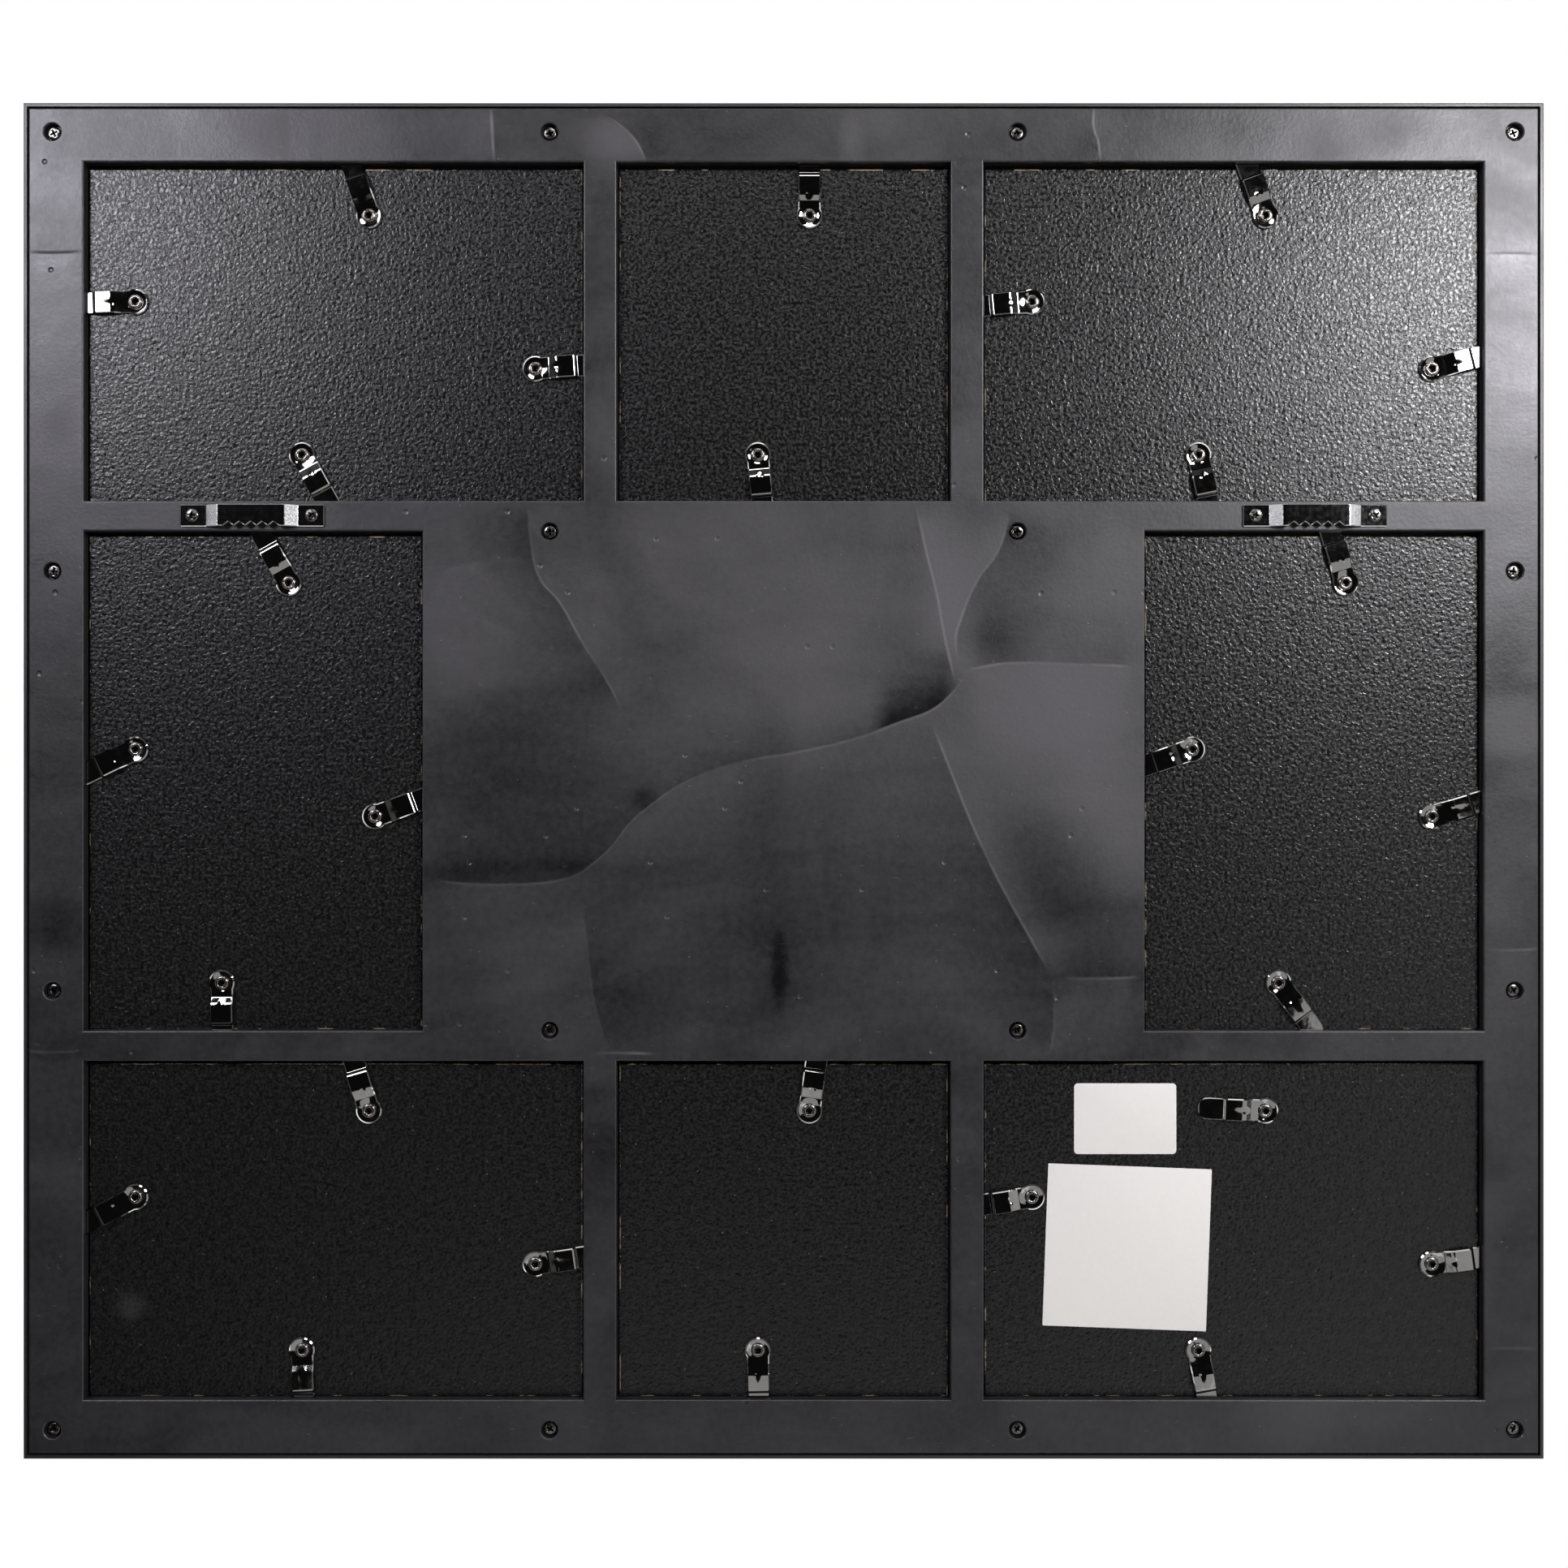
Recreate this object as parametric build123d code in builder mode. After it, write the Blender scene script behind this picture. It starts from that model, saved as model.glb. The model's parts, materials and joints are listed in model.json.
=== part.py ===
import os

from build123d import *

os.makedirs("parts", exist_ok=True)

# Collage photo frame, in millimetres. X runs across it, Z runs up, and its back faces +Y.
# Left and right are as seen from the back, so left is +X.
# Depths are counted from the wall, which the hangers touch, towards the front.

# Photo formats and the play of each format in its opening
photo_long = 152.4
photo_short = 101.6
long_play = 2.2
short_play = 3.2
square_play = 1.8

# Rails between the openings and borders around them
column_gap = 10.2
row_gap = 9.3
side_border = 18.45
end_border = 18.15

# Front frame
frame_depth = 15.0
skin = 2.2
rim_width = 1.1
rim_round = 0.4
front_round = 1.6
ledge_width = 1.3
collar_wall = 1.4
collar_drop = 0.2
lip_thickness = 1.2
sight_lap = 3.2
bevel_run = 4.2

# Back panel
panel_thickness = 2.0
panel_recess = 0.3
panel_seam = 0.35
panel_round = 0.5

# Pieces stacked in a pocket
clip_room = 1.4
board_thickness = 3.0
board_play = 0.65
board_chamfer = 0.3
insert_thickness = 0.3
glass_thickness = 1.6
rest_gap = 0.05

# Panel screws, their pits and their bosses
pit_diameter = 5.4
pit_depth = 2.6
pit_floor = 1.0
pit_wall = 1.2
pit_chamfer = 0.3
screw_inset = 8.8
inner_screw_x = 72.4
inner_screw_inset = 9.4
side_screw_z = 64.9
screw_head_diameter = 4.3
screw_head_height = 1.2
screw_diameter = 2.2
screw_length = 8.0
screw_clearance = 0.05
boss_diameter = 6.8
boss_rib = 1.2
pilot_spare = 1.0

# Cross recess of every screw
cross_length = 2.5
cross_width = 0.6
cross_depth = 0.7
cross_turn = 34.0

# Sawtooth hangers
hanger_length = 44.4
hanger_width = 6.7
hanger_sheet = 0.8
hanger_rise = 1.8
hanger_tab = 8.0
hanger_ramp = 4.4
hanger_bend = 0.6
tooth_count = 5
tooth_pitch = 3.5
tooth_depth = 1.3
hanger_screw_inset = 3.8
hanger_screw_bite = 1.7
hanger_screw_head = 4.0
hanger_screw_height = 0.9
hanger_screw_diameter = 2.0

# Turn clips, measured along the strip from the rivet
clip_sheet = 0.6
clip_width = 6.8
clip_length = 21.0
clip_bend = 0.5
eye_diameter = 8.2
ramp_start = 4.1
ramp_end = 5.9
riser_start = 11.9
riser_end = 12.9
plateau_rise = 1.25
tip_rise = 0.4
bead_diameter = 5.9
bead_width = 1.0
bead_height = 0.3
dart_length = 1.0
dart_width = 1.2
clip_inset = 14.55
large_stagger = 10.4
square_stagger = 8.0

# Rivets
rivet_barrel = 3.0
rivet_head = 4.2
rivet_head_height = 0.6
rivet_rim = 0.2
rivet_bore = 2.0
rivet_bore_depth = 2.2
rivet_flange = 4.8
rivet_flange_height = 0.6
rivet_recess = 0.8
turning_gap = 0.05

# How far each clip is turned from square to its edge, anticlockwise as seen from the back
clip_turns = {
    "top_left": {"top": 18.7, "left": 1.7, "right": 4.0, "bottom": 29.0},
    "top_middle": {"top": 0.0, "bottom": 5.2},
    "top_right": {"top": 19.7, "left": 5.0, "right": 14.0, "bottom": 11.4},
    "middle_left": {"top": 28.9, "left": 26.0, "right": 20.0, "bottom": 1.0},
    "middle_right": {"top": 16.3, "left": 18.9, "right": 16.7, "bottom": 36.2},
    "bottom_left": {"top": 16.6, "left": 27.5, "right": 8.2, "bottom": 2.7},
    "bottom_middle": {"top": -8.0, "bottom": 1.2},
    "bottom_right": {"top": 87.7, "left": 9.1, "right": 7.6, "bottom": 10.0},
}
edge_turns = {"top": 0, "left": 90, "bottom": 180, "right": -90}

# Sizes that follow
opening_long = photo_long + long_play
opening_short = photo_short + short_play
opening_square = photo_short + square_play
frame_width = opening_square + 2 * (column_gap + opening_long + side_border)
frame_height = opening_long + 2 * (row_gap + opening_short + end_border)
panel_width = frame_width - 2 * (rim_width + panel_seam)
panel_height = frame_height - 2 * (rim_width + panel_seam)

# Depths that follow
panel_back = hanger_rise + hanger_sheet
rim_back = panel_back - panel_recess
panel_front = panel_back + panel_thickness
board_back = panel_front + clip_room
board_front = board_back + board_thickness
insert_front = board_front + insert_thickness
glass_front = insert_front + glass_thickness
lip_front = glass_front + lip_thickness
frame_front = rim_back + frame_depth
skin_back = frame_front - skin
collar_back = board_back + collar_drop
screw_seat = panel_back + pit_depth
boss_back = screw_seat + pit_floor

# Centres of the openings
column_x = opening_square / 2 + column_gap + opening_long / 2
portrait_x = opening_square / 2 + column_gap + opening_long - opening_short / 2
row_z = opening_long / 2 + row_gap + opening_short / 2

landscape = (opening_long, opening_short)
portrait = (opening_short, opening_long)
square = (opening_square, opening_short)
pockets = {
    "top_left": (column_x, row_z, landscape),
    "top_middle": (0, row_z, square),
    "top_right": (-column_x, row_z, landscape),
    "middle_left": (portrait_x, 0, portrait),
    "middle_right": (-portrait_x, 0, portrait),
    "bottom_left": (column_x, -row_z, landscape),
    "bottom_middle": (0, -row_z, square),
    "bottom_right": (-column_x, -row_z, landscape),
}
photo_sizes = {
    landscape: (photo_long, photo_short),
    portrait: (photo_short, photo_long),
    square: (photo_short, photo_short),
}

# Screw places
edge_x = frame_width / 2 - screw_inset
edge_z = frame_height / 2 - screw_inset
inner_z = opening_long / 2 + row_gap - inner_screw_inset
screw_places = [
    (side * x, end * z)
    for x, z in [
        (edge_x, edge_z),
        (inner_screw_x, edge_z),
        (inner_screw_x, inner_z),
        (edge_x, side_screw_z),
    ]
    for side in (1, -1)
    for end in (1, -1)
]
hanger_x = portrait_x
hanger_z = opening_long / 2 + row_gap / 2
hanger_screw_reach = hanger_length / 2 - hanger_screw_inset
hanger_screw_xs = [side * hanger_x + reach * hanger_screw_reach for side in (1, -1) for reach in (1, -1)]


def at_depth(depth):
    return Plane.XZ.offset(depth)


def rectangles(sizes):
    for x, z, (width, height) in sizes:
        with Locations((x, z)):
            Rectangle(width, height)


def grown(amount):
    return [(x, z, (size[0] + 2 * amount, size[1] + 2 * amount)) for x, z, size in pockets.values()]


def sights(growth):
    places = []
    for x, z, size in pockets.values():
        width, height = photo_sizes[size]
        places.append((x, z, (width + 2 * (growth - sight_lap), height + 2 * (growth - sight_lap))))
    return places


def board_size(name):
    width, height = pockets[name][2]
    return width - 2 * board_play, height - 2 * board_play


def resting_z(name, height):
    return pockets[name][1] - pockets[name][2][1] / 2 + rest_gap + height / 2


def clip_places(name):
    width, height = board_size(name)
    stagger = square_stagger if pockets[name][2] == square else large_stagger
    x, z = pockets[name][0], resting_z(name, height)
    places = {
        "top": (x - stagger, z + height / 2 - clip_inset),
        "left": (x + width / 2 - clip_inset, z + stagger),
        "right": (x - width / 2 + clip_inset, z - stagger),
        "bottom": (x + stagger, z - height / 2 + clip_inset),
    }
    return {edge: places[edge] for edge in clip_turns[name]}


def pressed_bends(bend, sheet):
    # under radii of a raised strip's four bends: the sheet lies inside the outer two
    return [bend + sheet, bend, bend, bend + sheet]


def save(piece, name):
    piece.label = name
    export_step(piece, f"parts/{name}.step")


# Front frame: a shell that is open at the back, with a collar round each pocket and a boss for each screw
with BuildPart() as front_frame:
    with BuildSketch(at_depth(rim_back)):
        Rectangle(frame_width, frame_height)
    extrude(amount=frame_depth)
    fillet(front_frame.faces().sort_by(Axis.Y)[0].edges(), front_round)
    fillet(front_frame.faces().sort_by(Axis.Y)[-1].edges(), rim_round)
    with BuildSketch(at_depth(rim_back)):
        Rectangle(frame_width - 2 * rim_width, frame_height - 2 * rim_width)
    extrude(amount=panel_front - rim_back, mode=Mode.SUBTRACT)
    shell_inset = rim_width + ledge_width
    with BuildSketch(at_depth(panel_front)):
        Rectangle(frame_width - 2 * shell_inset, frame_height - 2 * shell_inset)
    extrude(amount=skin_back - panel_front, mode=Mode.SUBTRACT)
    with BuildSketch(at_depth(collar_back)):
        rectangles(grown(collar_wall))
    extrude(amount=skin_back - collar_back)
    with BuildSketch(at_depth(boss_back)):
        with Locations(*screw_places):
            Circle(boss_diameter / 2)
        for x, z in screw_places:
            to_side = frame_width / 2 - abs(x) if abs(x) == edge_x else 0
            to_end = frame_height / 2 - abs(z) if abs(z) == edge_z else 0
            if to_side:
                with Locations((x + (to_side - shell_inset / 2) / 2 * (1 if x > 0 else -1), z)):
                    Rectangle(to_side - shell_inset / 2, boss_rib)
            if to_end:
                with Locations((x, z + (to_end - shell_inset / 2) / 2 * (1 if z > 0 else -1))):
                    Rectangle(boss_rib, to_end - shell_inset / 2)
    extrude(amount=skin_back - boss_back)
    with BuildSketch(at_depth(boss_back)):
        with Locations(*screw_places):
            Circle(screw_diameter / 2 + screw_clearance)
    extrude(amount=screw_length - pit_floor + pilot_spare, mode=Mode.SUBTRACT)
    with BuildSketch(at_depth(collar_back)):
        rectangles(grown(0))
    extrude(amount=glass_front - collar_back, mode=Mode.SUBTRACT)
    with BuildSketch(at_depth(glass_front)):
        rectangles(sights(0))
    extrude(amount=lip_thickness, mode=Mode.SUBTRACT)
    for inner, outer in zip(sights(0), sights(bevel_run)):
        with BuildSketch(at_depth(lip_front)):
            rectangles([inner])
        with BuildSketch(at_depth(frame_front)):
            rectangles([outer])
        loft(mode=Mode.SUBTRACT)
save(front_frame.part, "front_frame")

# Back panel: a plate with eight openings and a cup under each screw pit
with BuildPart() as back_panel:
    with BuildSketch(at_depth(panel_back)):
        Rectangle(panel_width, panel_height)
    extrude(amount=panel_thickness)
    with BuildSketch(at_depth(panel_back)):
        rectangles(grown(0))
    extrude(amount=panel_thickness, mode=Mode.SUBTRACT)
    fillet(back_panel.faces().sort_by(Axis.Y)[-1].edges(), panel_round)
    with BuildSketch(at_depth(panel_front)):
        with Locations(*screw_places):
            Circle(pit_diameter / 2 + pit_wall)
    extrude(amount=boss_back - panel_front)
    with BuildSketch(at_depth(panel_back)):
        with Locations(*screw_places):
            Circle(pit_diameter / 2)
    extrude(amount=pit_depth, mode=Mode.SUBTRACT)
    pit_mouths = back_panel.faces().sort_by(Axis.Y)[-1].edges().filter_by(GeomType.CIRCLE)
    chamfer(pit_mouths, pit_chamfer)
    with BuildSketch(at_depth(screw_seat)):
        with Locations(*screw_places):
            Circle(screw_diameter / 2 + screw_clearance)
    extrude(amount=pit_floor, mode=Mode.SUBTRACT)
    with BuildSketch(at_depth(panel_back)):
        with Locations(*[(x, hanger_z) for x in hanger_screw_xs]):
            Circle(hanger_screw_diameter / 2 + screw_clearance)
    extrude(amount=panel_thickness, mode=Mode.SUBTRACT)
save(back_panel.part, "back_panel")


def make_pane(name, back, thickness, kind):
    width, height = photo_sizes[pockets[name][2]]
    with BuildPart() as pane:
        with BuildSketch(at_depth(back)):
            with Locations((pockets[name][0], resting_z(name, height))):
                Rectangle(width, height)
        extrude(amount=thickness)
    save(pane.part, f"{kind}_{name}")


def make_board(name):
    width, height = board_size(name)
    rivet_spots = list(clip_places(name).values())
    with BuildPart() as board:
        with BuildSketch(at_depth(board_back)):
            with Locations((pockets[name][0], resting_z(name, height))):
                Rectangle(width, height)
        extrude(amount=board_thickness)
        chamfer(board.faces().sort_by(Axis.Y)[-1].edges(), board_chamfer)
        with BuildSketch(at_depth(board_back)):
            with Locations(*rivet_spots):
                Circle(rivet_barrel / 2 + turning_gap)
        extrude(amount=board_thickness, mode=Mode.SUBTRACT)
        with BuildSketch(at_depth(board_front - rivet_recess)):
            with Locations(*rivet_spots):
                Circle(rivet_flange / 2 + turning_gap)
        extrude(amount=rivet_recess, mode=Mode.SUBTRACT)
    save(board.part, f"board_{name}")


for pocket in pockets:
    make_pane(pocket, insert_front, glass_thickness, "glass")
    make_pane(pocket, board_front, insert_thickness, "insert")
    make_board(pocket)

# Turn clip, pointing up, with its rivet's axis along Y and the board's back at Y = 0
strip_under = [
    (turning_gap, -eye_diameter / 2),
    (turning_gap, ramp_start),
    (plateau_rise, ramp_end),
    (plateau_rise, riser_start),
    (tip_rise, riser_end),
    (tip_rise, clip_length),
]
ramp_slope = (plateau_rise - turning_gap) / (ramp_end - ramp_start)
dart_foot = (plateau_rise - dart_length * ramp_slope, ramp_end - dart_length)
dart_corner = (plateau_rise, ramp_end)
dart_head = (plateau_rise, ramp_end + dart_length)
dart_top = plateau_rise + 2 * clip_sheet
eye_top = turning_gap + clip_sheet
with BuildPart() as clip:
    with BuildSketch(Plane.YZ):
        with BuildLine():
            FilletPolyline(*strip_under, radius=pressed_bends(clip_bend, clip_sheet))
            offset(amount=clip_sheet, side=Side.RIGHT)
        make_face()
    extrude(amount=eye_diameter / 2, both=True)
    with BuildSketch(Plane.XZ) as outline:
        with Locations((0, clip_length / 2)):
            Rectangle(clip_width, clip_length)
        fillet(outline.vertices().group_by(Axis.Z)[-1], clip_width / 2 - turning_gap)
        Circle(eye_diameter / 2)
    extrude(amount=clip_length, both=True, mode=Mode.INTERSECT)
    with BuildSketch(Plane.YZ):
        with BuildLine():
            Polyline(dart_foot, dart_corner, dart_head, close=True)
        make_face()
    extrude(amount=dart_width / 2 + clip_sheet, both=True)
    with BuildSketch(Plane.YZ):
        with BuildLine():
            Polyline(
                (dart_foot[0] + clip_sheet, dart_foot[1]),
                (dart_head[0] + clip_sheet, dart_head[1]),
                (dart_top, dart_head[1]),
                (dart_top, dart_foot[1]),
                close=True,
            )
        make_face()
    extrude(amount=dart_width / 2, both=True, mode=Mode.SUBTRACT)
    with BuildSketch(Plane.XY):
        with Locations((bead_diameter / 2, eye_top)):
            Trapezoid(bead_width, bead_height, 45, align=(Align.CENTER, Align.MIN))
    revolve(axis=Axis.Y)
    with BuildSketch(Plane.XZ):
        Circle(rivet_barrel / 2 + turning_gap)
    extrude(amount=clip_length, both=True, mode=Mode.SUBTRACT)

for pocket in pockets:
    for edge, (x, z) in clip_places(pocket).items():
        turn = edge_turns[edge] + clip_turns[pocket][edge]
        with BuildPart() as placed_clip:
            with Locations(Location((x, -board_back, z), (0, turn, 0))):
                add(clip.part)
        save(placed_clip.part, f"clip_{pocket}_{edge}")

# Rivet with a rolled tubular end at the back and a flat flange in the board
head_base = eye_top + turning_gap
head_top = head_base + rivet_head_height
head_crest = (rivet_head + rivet_bore) / 4
flange_base = rivet_recess - board_thickness
with BuildPart() as rivet:
    with BuildSketch(Plane.XY):
        with BuildLine():
            Polyline(
                (0, flange_base - rivet_flange_height),
                (rivet_flange / 2, flange_base - rivet_flange_height),
                (rivet_flange / 2, flange_base),
                (rivet_barrel / 2, flange_base),
                (rivet_barrel / 2, head_base),
                (rivet_head / 2, head_base),
                (rivet_head / 2, head_base + rivet_rim),
                (head_crest, head_top),
                (rivet_bore / 2, head_base + rivet_rim),
                (rivet_bore / 2, head_top - rivet_bore_depth),
                (0, head_top - rivet_bore_depth),
                close=True,
            )
        make_face()
    revolve(axis=Axis.Y)

with BuildPart() as clip_rivets:
    for pocket in pockets:
        with Locations(*[(x, -board_back, z) for x, z in clip_places(pocket).values()]):
            add(rivet.part)
save(clip_rivets.part, "clip_rivets")


def make_screw(head_diameter, head_height, diameter, length):
    with BuildPart() as screw:
        with BuildSketch(Plane.XY):
            with BuildLine():
                Polyline(
                    (0, -length),
                    (diameter / 4, -length),
                    (diameter / 2, -length + diameter / 2),
                    (diameter / 2, 0),
                    (head_diameter / 2, 0),
                    (head_diameter / 2, head_height / 2),
                    (head_diameter / 2 - head_height / 2, head_height),
                    (0, head_height),
                    close=True,
                )
            make_face()
        revolve(axis=Axis.Y)
        with BuildSketch(Plane.XZ.offset(-head_height)):
            Rectangle(cross_length, cross_width)
            Rectangle(cross_width, cross_length)
        extrude(amount=cross_depth, mode=Mode.SUBTRACT)
    return screw.part


panel_screw = make_screw(screw_head_diameter, screw_head_height, screw_diameter, screw_length)
with BuildPart() as panel_screws:
    for count, (x, z) in enumerate(screw_places):
        with Locations(Location((x, -screw_seat, z), (0, count * cross_turn, 0))):
            add(panel_screw)
save(panel_screws.part, "panel_screws")

# Sawtooth hanger: a bent strip with its teeth on the lower edge of the raised middle
hanger_half = hanger_length / 2
foot = hanger_half - hanger_tab
crown = foot - hanger_ramp
hanger_under = [
    (-hanger_half, 0),
    (-foot, 0),
    (-crown, hanger_rise),
    (crown, hanger_rise),
    (foot, 0),
    (hanger_half, 0),
]
with BuildPart() as hanger:
    with BuildSketch(Plane.XY):
        with BuildLine():
            FilletPolyline(*hanger_under, radius=pressed_bends(hanger_bend, hanger_sheet))
            offset(amount=hanger_sheet, side=Side.LEFT)
        make_face()
    extrude(amount=hanger_width / 2, both=True)
    with BuildSketch(Plane.XZ):
        with Locations((0, -hanger_width / 2)):
            with GridLocations(tooth_pitch, 0, tooth_count, 1):
                Polygon((-tooth_pitch / 2, 0), (tooth_pitch / 2, 0), (0, tooth_depth), align=None)
    extrude(amount=hanger_length, both=True, mode=Mode.SUBTRACT)
    with BuildSketch(Plane.XZ):
        with Locations((-hanger_screw_reach, 0), (hanger_screw_reach, 0)):
            Circle(hanger_screw_diameter / 2 + screw_clearance)
    extrude(amount=hanger_length, both=True, mode=Mode.SUBTRACT)

hanger_screw = make_screw(
    hanger_screw_head, hanger_screw_height, hanger_screw_diameter, hanger_sheet + hanger_screw_bite
)
for side, name in ((1, "hanger_left"), (-1, "hanger_right")):
    with BuildPart() as placed_hanger:
        with Locations((side * hanger_x, -panel_back, hanger_z)):
            add(hanger.part)
    save(placed_hanger.part, name)

with BuildPart() as hanger_screws:
    for count, x in enumerate(hanger_screw_xs):
        with Locations(Location((x, hanger_sheet - panel_back, hanger_z), (0, count * cross_turn, 0))):
            add(hanger_screw)
save(hanger_screws.part, "hanger_screws")
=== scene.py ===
import json
import math

import bpy
from mathutils import Matrix, Vector


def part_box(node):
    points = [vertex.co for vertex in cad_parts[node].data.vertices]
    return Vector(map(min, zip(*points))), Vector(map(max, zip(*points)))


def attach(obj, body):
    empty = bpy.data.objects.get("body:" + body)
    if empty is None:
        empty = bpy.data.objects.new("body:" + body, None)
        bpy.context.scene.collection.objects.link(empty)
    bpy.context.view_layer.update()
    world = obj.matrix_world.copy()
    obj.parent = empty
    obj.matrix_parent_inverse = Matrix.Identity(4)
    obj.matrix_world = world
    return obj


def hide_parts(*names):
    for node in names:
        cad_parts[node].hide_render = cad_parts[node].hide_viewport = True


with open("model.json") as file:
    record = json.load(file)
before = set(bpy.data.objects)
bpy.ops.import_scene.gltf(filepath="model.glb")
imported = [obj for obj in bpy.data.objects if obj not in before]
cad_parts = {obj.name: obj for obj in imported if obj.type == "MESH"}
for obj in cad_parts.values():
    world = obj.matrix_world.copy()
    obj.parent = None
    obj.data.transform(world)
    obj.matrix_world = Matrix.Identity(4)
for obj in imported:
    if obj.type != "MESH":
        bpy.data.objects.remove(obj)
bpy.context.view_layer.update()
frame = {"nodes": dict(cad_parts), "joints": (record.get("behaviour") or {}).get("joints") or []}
solids = frame["nodes"]
scene = bpy.context.scene
print("frame loaded,", len(solids), "solids")

# camera: square on to the back, a little below the middle
cameraSpot = {"distance": 0.5974, "across": -0.000125, "height": -0.00095, "lens": 44.56, "sensor": 36}
bpy.ops.object.camera_add(
    location=(cameraSpot["across"], cameraSpot["distance"], cameraSpot["height"]),
    rotation=(math.radians(90), 0, math.radians(180)),
)
camera = bpy.context.object
camera.data.sensor_width = cameraSpot["sensor"]
camera.data.lens = cameraSpot["lens"]
scene.camera = camera


# small helpers for the node trees
def startMaterial(name):
    made = bpy.data.materials.new(name)
    made.use_nodes = True
    tree = made.node_tree
    place = tree.nodes.new("ShaderNodeTexCoord").outputs["Object"]
    return made, tree, tree.nodes["Principled BSDF"], place


def wire(tree, kind, inputs, **settings):
    made = tree.nodes.new("ShaderNode" + kind)
    for name, value in settings.items():
        setattr(made, name, value)
    for key, value in inputs.items():
        if isinstance(value, bpy.types.NodeSocket):
            tree.links.new(value, made.inputs[key])
        else:
            made.inputs[key].default_value = value
    return made


def join(tree, value, socket):
    tree.links.new(value, socket)


def calc(tree, operation, a, b=0.0):
    return wire(tree, "Math", {0: a, 1: b}, operation=operation).outputs[0]


def plus(tree, a, b):
    return calc(tree, "ADD", a, b)


def times(tree, a, b):
    return calc(tree, "MULTIPLY", a, b)


def fade(tree, value, low, high, start=0.0, end=1.0):
    steps = {0: value, 1: low, 2: high, 3: start, 4: end}
    return wire(tree, "MapRange", steps, interpolation_type="SMOOTHSTEP").outputs[0]


def mixValue(tree, amount, first, second):
    return wire(tree, "Mix", {0: amount, 2: first, 3: second}).outputs[0]


def blendColour(tree, amount, first, second):
    return wire(tree, "Mix", {0: amount, 6: first, 7: second}, data_type="RGBA").outputs[2]


def faceOn(tree, place):
    # the point as seen square on to the back, for patterns that lie flat
    split = wire(tree, "SeparateXYZ", {0: place})
    return wire(tree, "CombineXYZ", {0: split.outputs[0], 1: split.outputs[2]}).outputs[0]


def stretched(tree, place, scale, turn=(0, 0, 0)):
    return wire(tree, "Mapping", {"Vector": place, "Scale": scale, "Rotation": turn}).outputs[0]


def noise(tree, place, scale, detail=2.0, rough=0.5, twist=0.0, space="3D"):
    inputs = {"Vector": place, "Scale": scale, "Detail": detail, "Roughness": rough, "Distortion": twist}
    return wire(tree, "TexNoise", inputs, noise_dimensions=space).outputs[0]


def flatNoise(tree, place, scale, detail=2.0, rough=0.5, twist=0.0):
    return noise(tree, place, scale, detail, rough, twist, "2D")


def flatCells(tree, place, scale, output="Distance"):
    inputs = {"Vector": place, "Scale": scale}
    return wire(tree, "TexVoronoi", inputs, voronoi_dimensions="2D").outputs[output]


def specks(tree, place, scale, channel, reach, level, share):
    # round spots in the few cells whose colour channel is over share, fading out within reach
    chosen = wire(tree, "SeparateColor", {0: flatCells(tree, place, scale, "Color")}).outputs[channel]
    near, far = reach
    spot = fade(tree, flatCells(tree, place, scale), near, far, level, 0.0)
    return times(tree, spot, calc(tree, "GREATER_THAN", chosen, share))


def relief(tree, height, strength, distance, under=None):
    inputs = {"Height": height, "Strength": strength, "Distance": distance}
    if under is not None:
        inputs["Normal"] = under
    return wire(tree, "Bump", inputs).outputs[0]


# studio: a surround that is white at the rim and dark straight on, and a pale floor well below
studio = {
    "surround": 3.0, "rimBand": 0.24, "dusk": 0.2, "ceiling": 0.008, "duskBand": (0.3, 0.75),
    "floorHeight": -1.2, "floorReach": 2.2, "floorFade": 0.55, "floorFacets": 96, "floorRoughness": 0.7,
}
world = bpy.data.worlds.new("studioWorld")
scene.world = world
world.use_nodes = True
tree = world.node_tree
heading = wire(tree, "TexCoord", {}).outputs["Generated"]
lift = calc(tree, "ABSOLUTE", wire(tree, "SeparateXYZ", {0: heading}).outputs[1])
rimLight = fade(tree, lift, 0.0, studio["rimBand"], studio["surround"], 0.0)
surround = plus(tree, rimLight, fade(tree, lift, *studio["duskBand"], studio["dusk"], studio["ceiling"]))
seen = wire(tree, "LightPath", {}).outputs["Is Camera Ray"]
backdrop = tree.nodes["Background"]
join(tree, mixValue(tree, seen, surround, 1.0), backdrop.inputs["Strength"])
backdrop.inputs["Color"].default_value = (1, 1, 1, 1)
world.cycles_visibility.diffuse = False
scene.view_settings.view_transform = "Standard"
scene.cycles.max_bounces = 6
scene.cycles.diffuse_bounces = 2
scene.cycles.glossy_bounces = 3
scene.cycles.caustics_reflective = False

# lamps: keys to the right, left and top behind the camera, fills below them, others for the front
lamps = {
    "keyRight": {"place": (-0.56, 0.75, 0.37), "size": 0.26, "power": 9.6, "tint": (1.0, 0.985, 1.01)},
    "keyLeft": {"place": (0.57, 0.75, 0.45), "size": 0.30, "power": 5.7, "tint": (0.99, 0.97, 1.05)},
    "fillRight": {"place": (-0.75, 0.8, -0.45), "size": 0.9, "power": 1.7},
    "keyTop": {"place": (-0.02, 0.75, 0.78), "size": 0.30, "power": 2.2},
    "fillLow": {"place": (-0.05, 0.75, -0.78), "size": 0.9, "power": 1.6},
    "frontLeft": {"place": (-0.9, -1.3, 0.8), "size": 0.9, "power": 26},
    "frontRight": {"place": (1.1, -1.1, 0.3), "size": 0.7, "power": 9},
    "overhead": {"place": (0, -0.1, 1.6), "size": 1.4, "power": 9},
    "floorWash": {"place": (0, -0.3, -0.45), "size": 1.6, "power": 30, "aim": (0, -0.3, -1.2)},
}
plainTint = (1.0, 0.985, 0.98)
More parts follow.
